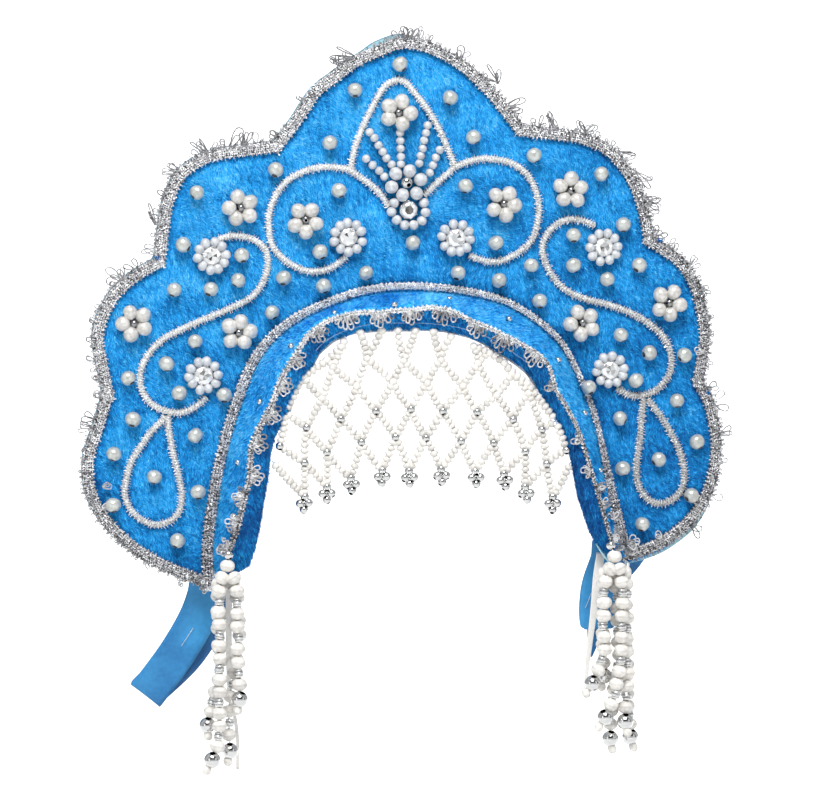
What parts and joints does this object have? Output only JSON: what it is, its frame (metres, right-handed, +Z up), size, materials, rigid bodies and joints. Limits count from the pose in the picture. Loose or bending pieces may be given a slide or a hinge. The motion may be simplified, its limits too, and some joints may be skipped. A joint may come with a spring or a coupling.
{
  "type": "kokoshnik headdress",
  "caption": "Lobed plush crest on a padded arched hoop, sewn with pearls, scroll braid and rosettes, with a beaded forehead net and side tassels.",
  "frame": {"origin": "top of the head opening, in the plane of the crest, where the hoop sits on the head", "axes": "+Z up the crest, the decorated front faces -Y, +X to the viewer's right"},
  "size_m": [0.2595, 0.0319, 0.2914],
  "materials": {
    "plush": "short-pile plush",
    "pale_satin": "satin cloth",
    "blue_satin": "satin ribbon",
    "silver_braid": "metallic thread",
    "white_braid": "metallic thread",
    "pearl": "pearl lustre",
    "white_tape": "woven tape"
  },
  "bodies": {
    "root": {"arch_braid": "silver_braid", "bead_net": "pearl", "centre_arch_cord": "white_braid", "edge_braid": "silver_braid", "flower_1": "pearl", "flower_2": "pearl", "flower_3": "pearl", "flower_4": "pearl", "flower_5": "pearl", "flower_6": "pearl", "flower_7": "pearl", "flower_8": "pearl", "flower_9": "pearl", "hoop": "plush", "lace_braid": "silver_braid", "lower_scroll_left": "white_braid", "lower_scroll_right": "white_braid", "palmette": "pearl", "palmette_ray_1": "pearl", "palmette_ray_2": "pearl", "palmette_ray_3": "pearl", "palmette_ray_4": "pearl", "palmette_ray_5": "pearl", "plush_front": "plush", "ribbon_left": "blue_satin", "ribbon_right": "blue_satin", "rosette_1": "pearl", "rosette_2": "pearl", "rosette_3": "pearl", "rosette_4": "pearl", "rosette_5": "pearl", "rosette_6": "pearl", "satin_back": "pale_satin", "strand_left_1": "pearl", "strand_left_2": "pearl", "strand_left_3": "pearl", "strand_left_4": "pearl", "strand_right_1": "pearl", "strand_right_2": "pearl", "strand_right_3": "pearl", "strand_right_4": "pearl", "strand_right_5": "pearl", "strand_right_6": "pearl", "tape_left": "white_tape", "tape_right": "white_tape", "tassel_head_left": "pearl", "tassel_head_right": "pearl", "teardrop_left": "white_braid", "teardrop_right": "white_braid", "upper_scroll_left": "white_braid", "upper_scroll_right": "white_braid"}
  },
  "joints": []
}
